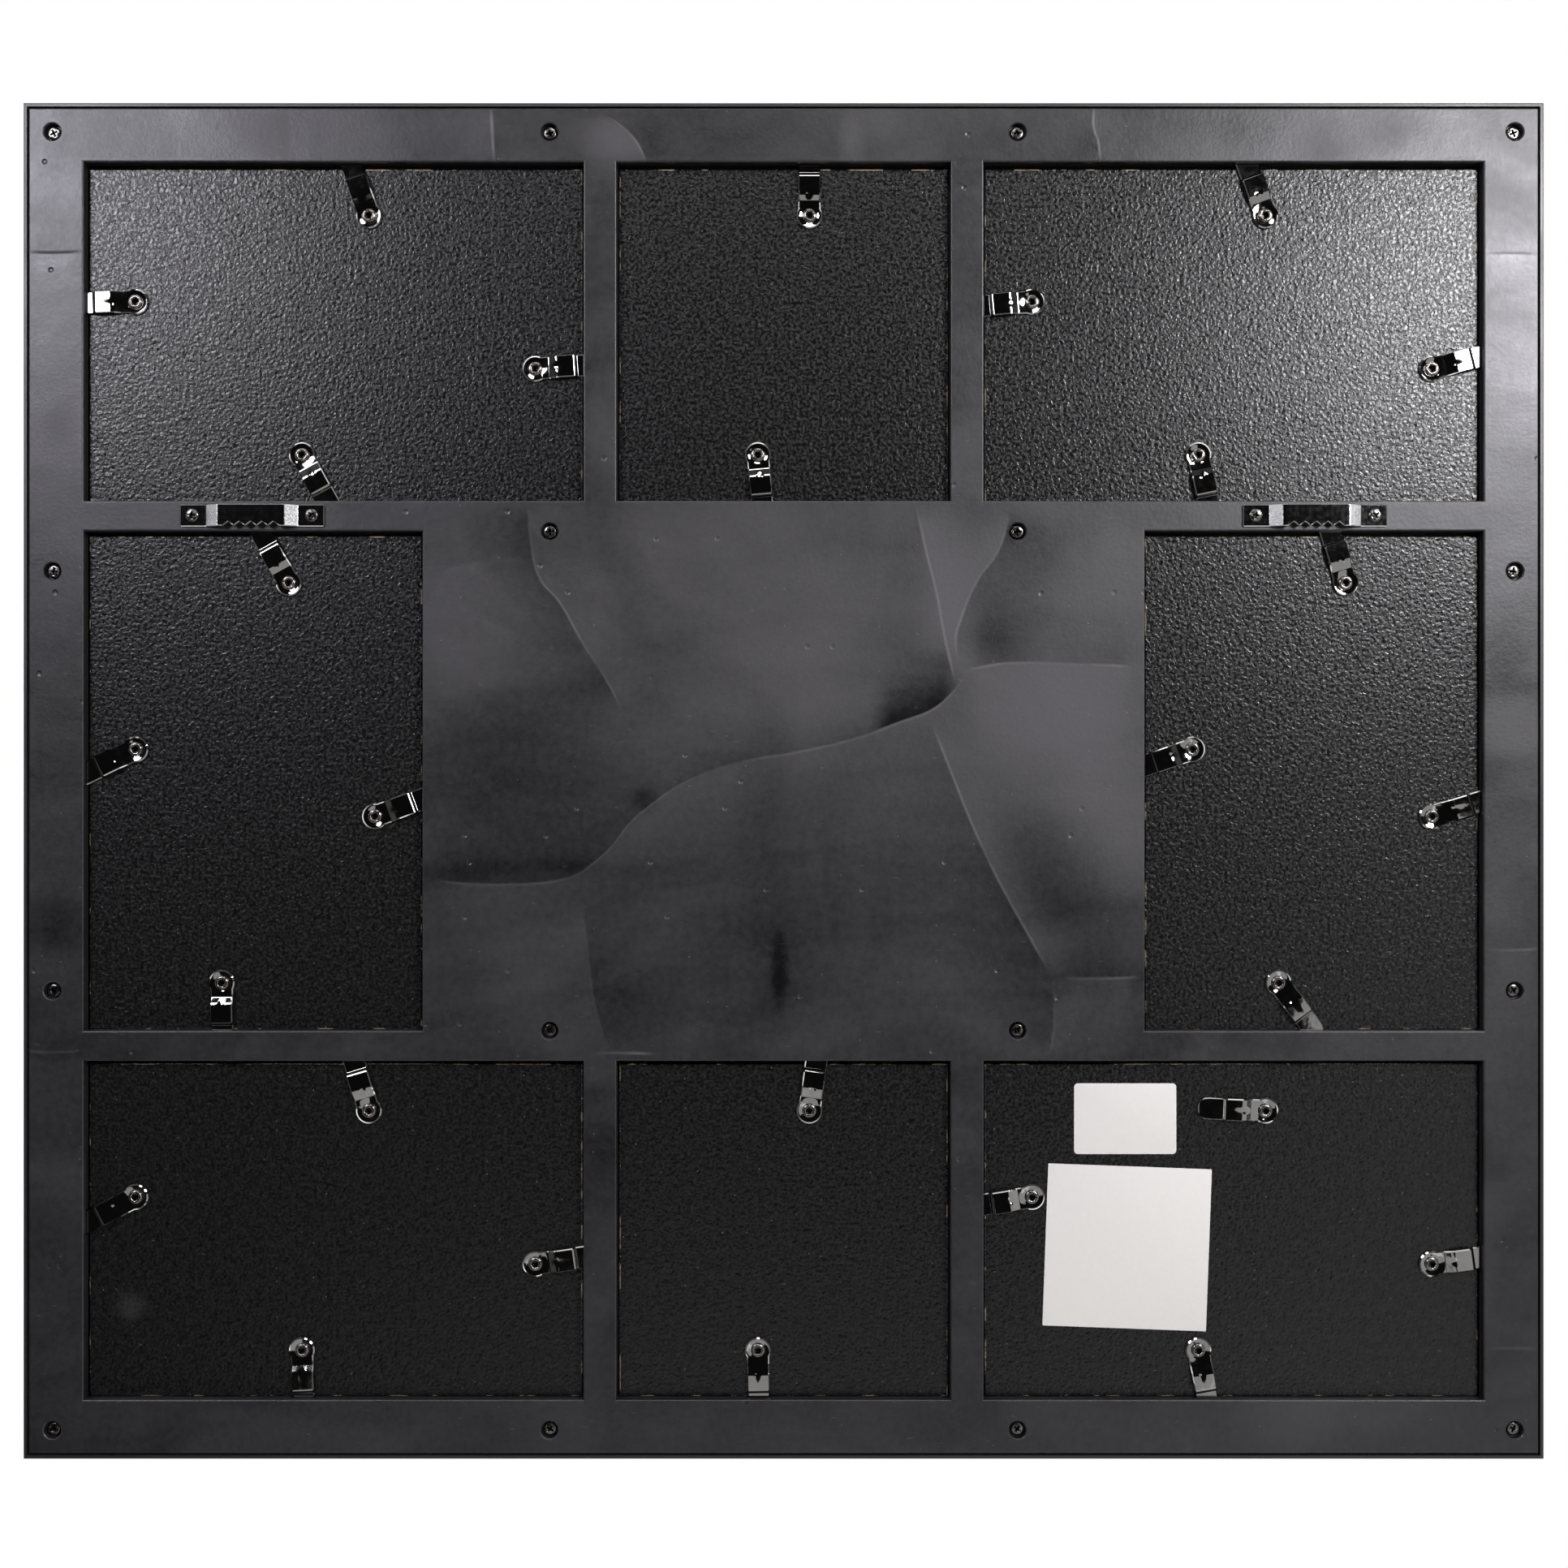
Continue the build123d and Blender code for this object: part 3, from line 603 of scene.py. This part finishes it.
def easeEdges(piece, width, angle, segments=1):
    # bevels every edge that turns by more than the angle
    limit = math.radians(angle)
    settle(piece, "BEVEL", width=width * mm, segments=segments, limit_method="ANGLE", angle_limit=limit)


def discard(piece):
    bpy.data.objects.remove(piece, do_unlink=True)


def cutAway(piece, cutter):
    bpy.ops.object.mode_set(mode="OBJECT")
    bpy.context.view_layer.objects.active = piece
    settle(piece, "BOOLEAN", object=cutter, operation="DIFFERENCE", solver="EXACT")
    discard(cutter)


def closeUp(piece, angle):
    piece.select_set(True)
    bpy.context.view_layer.objects.active = piece
    bpy.ops.object.mode_set(mode="EDIT")
    bpy.ops.mesh.select_all(action="SELECT")
    bpy.ops.mesh.remove_doubles(threshold=2e-6)
    bpy.ops.mesh.normals_make_consistent(inside=False)
    bpy.ops.object.mode_set(mode="OBJECT")
    if sum(face.area * face.normal.dot(face.center) for face in piece.data.polygons) < 0:
        piece.data.flip_normals()  # a thin bent sheet can come out with its inside turned out
    bpy.ops.object.shade_smooth_by_angle(angle=math.radians(angle))


def spinSection(section, steps):
    # a section of (radius, height) points in millimetres, spun round the z axis
    spun = startForm(bpy.ops.mesh.primitive_plane_add, size=mm)
    bpy.ops.mesh.select_mode(type="VERT")
    bpy.ops.mesh.merge(type="CENTER")
    bpy.ops.transform.translate(value=Vector((section[0][0], 0, section[0][1])) * mm)
    for (r0, h0), (r1, h1) in zip(section, section[1:]):
        drawOut((r1 - r0, 0, h1 - h0))
    bpy.ops.mesh.select_all(action="SELECT")
    bpy.ops.mesh.spin(steps=steps, angle=2 * math.pi, center=(0, 0, 0), axis=(0, 0, 1))
    bpy.ops.mesh.select_all(action="SELECT")
    bpy.ops.mesh.remove_doubles(threshold=0.025 * mm)
    bpy.ops.mesh.normals_make_consistent(inside=False)
    bpy.ops.object.mode_set(mode="OBJECT")
    return spun


def roundBends(piece, axis, places, size):
    # rounds the edges that run across the strip at the given places along it
    bpy.ops.mesh.select_mode(type="EDGE")
    bpy.ops.object.mode_set(mode="OBJECT")
    for edge in piece.data.edges:
        ends = [piece.data.vertices[i].co[axis] / mm for i in edge.vertices]
        edge.select = any(all(abs(end - place) < touch for end in ends) for place in places)
    bpy.ops.object.mode_set(mode="EDIT")
    bpy.ops.mesh.bevel(offset=size * mm, segments=3, affect="EDGES")
    bpy.ops.object.mode_set(mode="OBJECT")


def chamferRim(piece, size, clear):
    # cuts back the upper edge of a flat piece's outline, but not the holes within the clear radius
    upper, walls = set(), set()
    for face in piece.data.polygons:
        if face.normal.z > 0.5:
            upper.update(face.edge_keys)
        elif abs(face.normal.z) < 0.45:
            walls.update(face.edge_keys)
    bpy.ops.object.mode_set(mode="EDIT")
    bpy.ops.mesh.select_mode(type="EDGE")
    bpy.ops.mesh.select_all(action="DESELECT")
    bpy.ops.object.mode_set(mode="OBJECT")
    for edge in piece.data.edges:
        ends = [piece.data.vertices[i].co.xy.length / mm for i in edge.vertices]
        edge.select = edge.key in upper and edge.key in walls and min(ends) > clear
    bpy.ops.object.mode_set(mode="EDIT")
    bpy.ops.mesh.bevel(offset=size * mm, segments=1, affect="EDGES")
    bpy.ops.object.mode_set(mode="OBJECT")


def layCopies(template, spots, name):
    # one copy per matrix in spots, each with its own mesh, joined into one piece
    copies = []
    for spot in spots:
        one = template.copy()
        one.data = template.data.copy()
        one.data.transform(spot)
        scene.collection.objects.link(one)
        copies.append(one)
    bpy.ops.object.select_all(action="DESELECT")
    for one in copies:
        one.select_set(True)
    bpy.context.view_layer.objects.active = copies[0]
    if len(copies) > 1:
        bpy.ops.object.join()
    copies[0].name = name
    copies[0].data.name = name
    return copies[0]


# turn clip: an eye with a pressed ring, drawn out into a bent strip with a dart in its first bend
clipShape = {
    "bore": 1.55, "lift": 0.05, "sheet": 0.6, "facets": 48, "crown": 0.008, "halfWidth": 3.4,
    "rings": [(2.15, 0.0), (2.35, 0.08), (2.8, 0.13), (2.95, 0.20), (4.02, 0.36)],
    "shoulder": 60, "neck": (4.45, 6.8),
    "profile": [(6.2, 1.18), (6.9, 1.5), (7.6, 1.5), (12.1, 1.5), (12.85, 0.35), (17.5, 0.35)],
    "tip": [(19.0, 0.95), (19.9, 0.83), (20.45, 0.68), (20.95, 0.3)], "tipFrom": 16,
    "dart": {"half": 0.6, "at": 6.9, "lean": 0.15, "drop": 0.3},
    "bends": [4.45, 6.9, 12.1, 12.85], "bendRound": 0.4, "rim": 0.36, "eye": 3.0,
    "edgeRound": 0.15, "edgeAngle": 55, "smooth": 40,
}
clipForm = startForm(
    bpy.ops.mesh.primitive_circle_add,
    vertices=clipShape["facets"], radius=clipShape["bore"] * mm, fill_type="NOTHING",
)
radius, level = clipShape["bore"], 0.0
for nextRadius, nextLevel in clipShape["rings"]:
    grow = nextRadius / radius
    drawOut((0, 0, nextLevel - level), (grow, grow, 1))
    radius, level = nextRadius, nextLevel
outer = clipShape["rings"][-1][0]
shoulder = math.radians(clipShape["shoulder"])
pick(clipForm, lambda x, y, z: math.hypot(x, y) > outer - touch and y > 0.98 * outer * math.cos(shoulder))
reach, width = clipShape["neck"]
drawOut((0, 0, 0), (width / 2 / (outer * math.sin(shoulder)), 0, 1), (0, reach, 0))
for nextReach, nextLevel in clipShape["profile"]:
    drawOut((0, nextReach - reach, nextLevel - level))
    reach, level = nextReach, nextLevel
share = 1.0
for nextReach, nextShare in clipShape["tip"]:
    drawOut((0, nextReach - reach, 0), (nextShare / share, 1, 1))
    reach, share = nextReach, nextShare
dart = clipShape["dart"]
pick(clipForm, lambda x, y, z: abs(x) < dart["half"] and abs(y - dart["at"]) < touch)
bpy.ops.transform.translate(value=(0, dart["lean"] * mm, -dart["drop"] * mm))
roundBends(clipForm, 1, clipShape["bends"], clipShape["bendRound"])
for v in clipForm.data.vertices:
    if v.co.y / mm > outer:
        v.co.z -= clipShape["crown"] * mm * (v.co.x / mm / clipShape["halfWidth"]) ** 2
bpy.ops.object.mode_set(mode="EDIT")
bpy.ops.mesh.select_all(action="SELECT")
bpy.ops.mesh.normals_make_consistent(inside=False)
bpy.ops.object.mode_set(mode="OBJECT")
if sum(face.normal.z for face in clipForm.data.polygons) < 0:
    clipForm.data.flip_normals()
settle(clipForm, "SOLIDIFY", thickness=clipShape["sheet"] * mm, offset=1.0)
chamferRim(clipForm, clipShape["rim"], clipShape["eye"])
easeEdges(clipForm, clipShape["edgeRound"], clipShape["edgeAngle"])
closeUp(clipForm, clipShape["smooth"])
settle(clipForm, "WEIGHTED_NORMAL", keep_sharp=True)
clipForm.data.materials.append(clipSteel)
print("clip form", len(clipForm.data.polygons), "faces")

clipSpots = {}
for joint in frame["joints"]:
    name = joint["child"]
    pivot = Vector(joint["pos_m"])
    reaches = [v.co - pivot for v in solids[name].data.vertices]
    tip = sum((r for r in reaches if r.length > clipShape["tipFrom"] * mm), Vector())
    clipSpots[name] = (pivot, math.atan2(tip.x, tip.z))
for name, (pivot, turn) in clipSpots.items():
    seat = Matrix.Translation((pivot.x, boardBack + clipShape["lift"] * mm, pivot.z))
    clip = layCopies(clipForm, [seat @ Matrix.Rotation(turn, 4, "Y") @ toBack], "plated_" + name)
    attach(clip, name)
    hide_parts(name)
discard(clipForm)
print("clips laid", len(clipSpots))

# tubular rivet: its section spun round, with a rolled and split mouth
rivetShape = {
    "section": [(0.01, -2.8), (2.4, -2.8), (2.4, -2.2), (1.5, -2.2), (1.5, 0.7), (2.0, 0.7), (2.1, 0.8),
                (2.1, 0.95), (1.98, 1.13), (1.75, 1.26), (1.5, 1.3), (1.27, 1.25), (1.1, 1.1), (1.02, 0.9),
                (1.0, 0.2), (0.95, -0.8), (0.01, -1.0)],
    "steps": 36, "splits": 5, "tear": 0.09, "mouth": 1.6, "mouthFoot": 0.6, "turnStep": 2.4, "smooth": 60,
}
rivetForm = spinSection(rivetShape["section"], rivetShape["steps"])
for v in rivetForm.data.vertices:
    flat = math.hypot(v.co.x, v.co.y) / mm
    if flat < rivetShape["mouth"] and v.co.z / mm > rivetShape["mouthFoot"]:
        swell = math.sin(rivetShape["splits"] * math.atan2(v.co.y, v.co.x)) ** 3
        v.co.x *= 1 + rivetShape["tear"] * swell
        v.co.y *= 1 + rivetShape["tear"] * swell
closeUp(rivetForm, rivetShape["smooth"])
rivetForm.data.materials.append(rivetSteel)
spots = []
for count, (pivot, turn) in enumerate(clipSpots.values()):
    seat = Matrix.Translation((pivot.x, boardBack, pivot.z))
    spots.append(seat @ Matrix.Rotation(rivetShape["turnStep"] * count, 4, "Y") @ toBack)
rivets = layCopies(rivetForm, spots, "rolled_rivets")
discard(rivetForm)
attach(rivets, "frame")
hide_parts("clip_rivets")
print("rivets laid", len(spots))

# cross-head screws: a domed head on a pointed shank, with a tapered cross sunk in it
screwKinds = [
    {"name": "domed_panel_screws", "node": "panel_screws", "slot": "screw_steel",
     "finish": screwSteel, "head": 4.3, "height": 1.2, "shank": 2.2, "length": 8.0},
    {"name": "domed_hanger_screws", "node": "hanger_screws", "slot": "black_screw_steel",
     "finish": blackScrew, "head": 4.0, "height": 0.9, "shank": 2.0, "length": 2.5},
]
crossShape = {
    "long": 2.7, "wide": 0.72, "floor": 0.2, "taper": (0.5, 0.8), "steps": 32, "edgeRound": 0.1,
    "edgeAngle": 50, "smooth": 35, "turn": 0.6, "turnStep": 2.4,
}


def makeScrew(kind):
    rim, top, shank, length = kind["head"] / 2, kind["height"], kind["shank"] / 2, kind["length"]
    section = [(0.01, -length), (0.5 * shank, -length), (shank, -length + shank), (shank, 0), (rim, 0),
               (rim, 0.45 * top), (0.96 * rim, 0.7 * top), (0.88 * rim, 0.87 * top), (0.74 * rim, 0.96 * top),
               (0.4 * rim, top), (0.01, top)]
    screw = spinSection(section, crossShape["steps"])
    for turn in (0, math.pi / 2):
        cutter = startForm(bpy.ops.mesh.primitive_cube_add, size=mm)
        bpy.ops.transform.resize(value=(crossShape["long"], crossShape["wide"], top))
        bpy.ops.transform.translate(value=(0, 0, (0.5 * top + crossShape["floor"]) * mm))
        pick(cutter, lambda x, y, z: z < 0.5 * top)
        bpy.ops.transform.resize(value=(*crossShape["taper"], 1), center_override=(0, 0, 0))
        bpy.ops.mesh.select_all(action="SELECT")
        bpy.ops.transform.rotate(value=turn, orient_axis="Z", center_override=(0, 0, 0))
        cutAway(screw, cutter)
    easeEdges(screw, crossShape["edgeRound"], crossShape["edgeAngle"])
    closeUp(screw, crossShape["smooth"])
    screw.data.materials.append(kind["finish"])
    return screw


def groupMiddles(solid, reach):
    # the middle, across and up, of each group of vertices that lie closer together than reach
    groups = []
    for v in solid.data.vertices:
        near = [g for g in groups if math.hypot(v.co.x - g[0].x, v.co.z - g[0].z) < reach]
        if near:
            near[0].append(v.co)
        else:
            groups.append([v.co])
    middles = []
    for group in groups:
        xs, zs = [p.x for p in group], [p.z for p in group]
        middles.append(((min(xs) + max(xs)) / 2, (min(zs) + max(zs)) / 2))
    return middles


for kind in screwKinds:
    form = makeScrew(kind)
    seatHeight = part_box(kind["node"])[1].y - kind["height"] * mm
    spots = []
    for count, (x, z) in enumerate(groupMiddles(solids[kind["node"]], kind["head"] * 1.5 * mm)):
        turn = crossShape["turn"] + crossShape["turnStep"] * count
        spots.append(Matrix.Translation((x, seatHeight, z)) @ Matrix.Rotation(turn, 4, "Y") @ toBack)
    laid = layCopies(form, spots, kind["name"])
    discard(form)
    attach(laid, "frame")
    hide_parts(kind["node"])
    print(kind["name"], len(spots), "laid")

# sawtooth hangers: a bent strip with teeth in the lower edge of its raised middle and a hole in each tab
hangerShape = {
    "half": 22.2, "tab": 8.0, "width": 6.7, "sheet": 0.8, "bendRound": 0.7,
    "edgeRound": 0.2, "edgeAngle": 40, "smooth": 30,
    "profile": [(-14.2, 0.0), (-9.8, 1.8), (9.8, 1.8), (14.2, 0.0), (22.2, 0.0)],
    "teeth": 5, "pitch": 3.5, "depth": 1.3, "toothCut": 12,
    "hole": 1.1, "holeAt": 18.4, "holeFacets": 32, "holeCut": 8,
}
hangerForm = startForm(bpy.ops.mesh.primitive_plane_add, size=mm)
bpy.ops.transform.resize(value=(hangerShape["tab"], hangerShape["width"], 1))
bpy.ops.transform.translate(value=((hangerShape["tab"] / 2 - hangerShape["half"]) * mm, 0, 0))
reach, level = hangerShape["profile"][0]
pick(hangerForm, lambda x, y, z: x > reach - touch)
for nextReach, nextLevel in hangerShape["profile"][1:]:
    drawOut((nextReach - reach, 0, nextLevel - level))
    reach, level = nextReach, nextLevel
roundBends(hangerForm, 0, [place for place, rise in hangerShape["profile"][:-1]], hangerShape["bendRound"])
settle(hangerForm, "SOLIDIFY", thickness=hangerShape["sheet"] * mm, offset=1.0)
for count in range(hangerShape["teeth"]):
    tooth = startForm(bpy.ops.mesh.primitive_cube_add, size=mm)
    bpy.ops.transform.resize(
        value=(2 * hangerShape["pitch"], 2 * hangerShape["depth"], hangerShape["toothCut"])
    )
    pick(tooth, lambda x, y, z: y > 0)
    bpy.ops.transform.resize(value=(0.001, 1, 1), center_override=(0, 0, 0))  # to a ridge
    bpy.ops.mesh.select_all(action="SELECT")
    bpy.ops.mesh.remove_doubles(threshold=0.02 * mm)
    shiftAcross = (count - (hangerShape["teeth"] - 1) / 2) * hangerShape["pitch"]
    bpy.ops.transform.translate(value=(shiftAcross * mm, -hangerShape["width"] / 2 * mm, 0))
    cutAway(hangerForm, tooth)
for side in (1, -1):
    drill = startForm(
        bpy.ops.mesh.primitive_cylinder_add, vertices=hangerShape["holeFacets"],
        radius=hangerShape["hole"] * mm, depth=hangerShape["holeCut"] * mm,
    )
    bpy.ops.transform.translate(value=(side * hangerShape["holeAt"] * mm, 0, 0))
    cutAway(hangerForm, drill)
easeEdges(hangerForm, hangerShape["edgeRound"], hangerShape["edgeAngle"])
closeUp(hangerForm, hangerShape["smooth"])
settle(hangerForm, "WEIGHTED_NORMAL", keep_sharp=True)
hangerForm.data.materials.append(hangerSteel)
for name in ("hanger_left", "hanger_right"):
    low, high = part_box(name)
    seat = Matrix.Translation(((low.x + high.x) / 2, low.y, (low.z + high.z) / 2))
    hanger = layCopies(hangerForm, [seat @ toBack], "pressed_" + name)
    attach(hanger, "frame")
    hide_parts(name)
discard(hangerForm)
print("hangers laid 2")

# two blank paper stickers on the bottom right board
stickerShape = {
    "sheet": 0.04, "lift": 0.004, "cornerSteps": 5, "edgeRound": 0.012, "edgeSteps": 2, "edgeAngle": 30,
    "smooth": 30,
}
stickers = [
    {"name": "sticker_small", "place": (-106.2, -105.0), "size": (31.8, 22.0), "turn": 0.0, "corner": 1.2},
    {"name": "sticker_large", "place": (-106.8, -145.0), "size": (50.9, 50.4), "turn": 2.1, "corner": 0.25},
]
stickerPaper = paperMaterial("stickerPaper", {
    "mottle": 500.0, "tones": ((0.52, 0.505, 0.485, 1), (0.57, 0.555, 0.535, 1)),
    "roughness": 0.55, "fibre": 1300.0, "relief": 0.1,
})
for spec in stickers:
    width, height = spec["size"]
    sticker = startForm(bpy.ops.mesh.primitive_plane_add, size=mm)
    bpy.ops.transform.resize(value=(width, height, 1))
    bpy.ops.mesh.bevel(
        offset=spec["corner"] * mm, segments=stickerShape["cornerSteps"], affect="VERTICES"
    )
    settle(sticker, "SOLIDIFY", thickness=stickerShape["sheet"] * mm, offset=1.0)
    easeEdges(sticker, stickerShape["edgeRound"], stickerShape["edgeAngle"], stickerShape["edgeSteps"])
    closeUp(sticker, stickerShape["smooth"])
    sticker.data.materials.append(stickerPaper)
    x, z = spec["place"]
    seat = Matrix.Translation((x * mm, boardBack + stickerShape["lift"] * mm, z * mm))
    turn = math.radians(-spec["turn"])
    laid = layCopies(sticker, [seat @ Matrix.Rotation(turn, 4, "Y") @ toBack], spec["name"])
    discard(sticker)
    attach(laid, "frame")
print("stickers laid", len(stickers))
